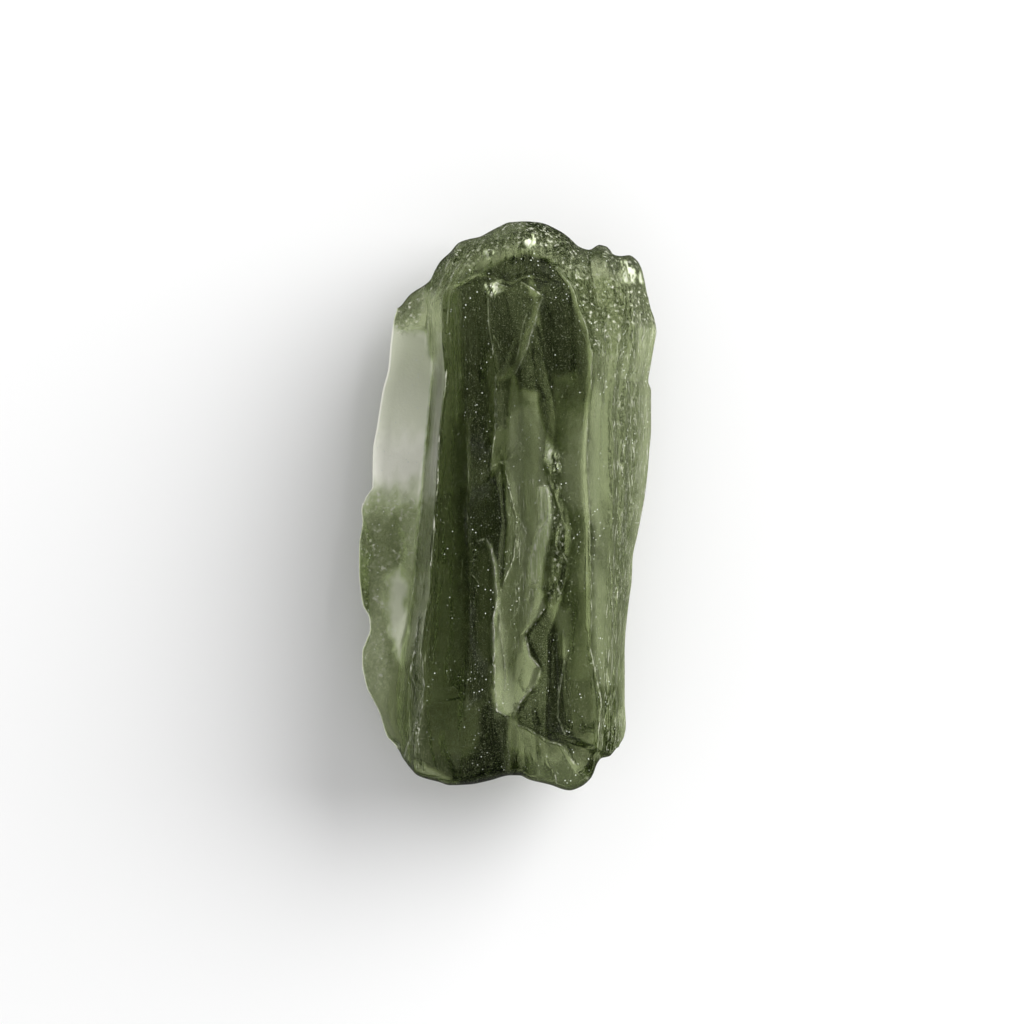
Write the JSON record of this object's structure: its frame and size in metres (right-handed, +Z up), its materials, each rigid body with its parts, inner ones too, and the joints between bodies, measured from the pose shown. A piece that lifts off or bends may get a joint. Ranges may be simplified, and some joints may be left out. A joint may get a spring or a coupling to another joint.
{
  "type": "moldavite",
  "caption": "Raw bottle-green natural glass stone, long and furrowed, with a thin wing along one side and a small flat resting spot.",
  "frame": {"origin": "on the resting surface, under the middle of the stone's box", "axes": "+Y along the stone from its broken end to its crown, +X across it from the thin wing to the ribbed flank, +Z up"},
  "size_m": [0.015, 0.0286, 0.0094],
  "materials": {
    "green_glass": "natural etched glass, see-through where thin and dark olive where thick, smooth on its facets and finely wrinkled elsewhere"
  },
  "bodies": {
    "root": {"moldavite": "green_glass"}
  },
  "joints": []
}
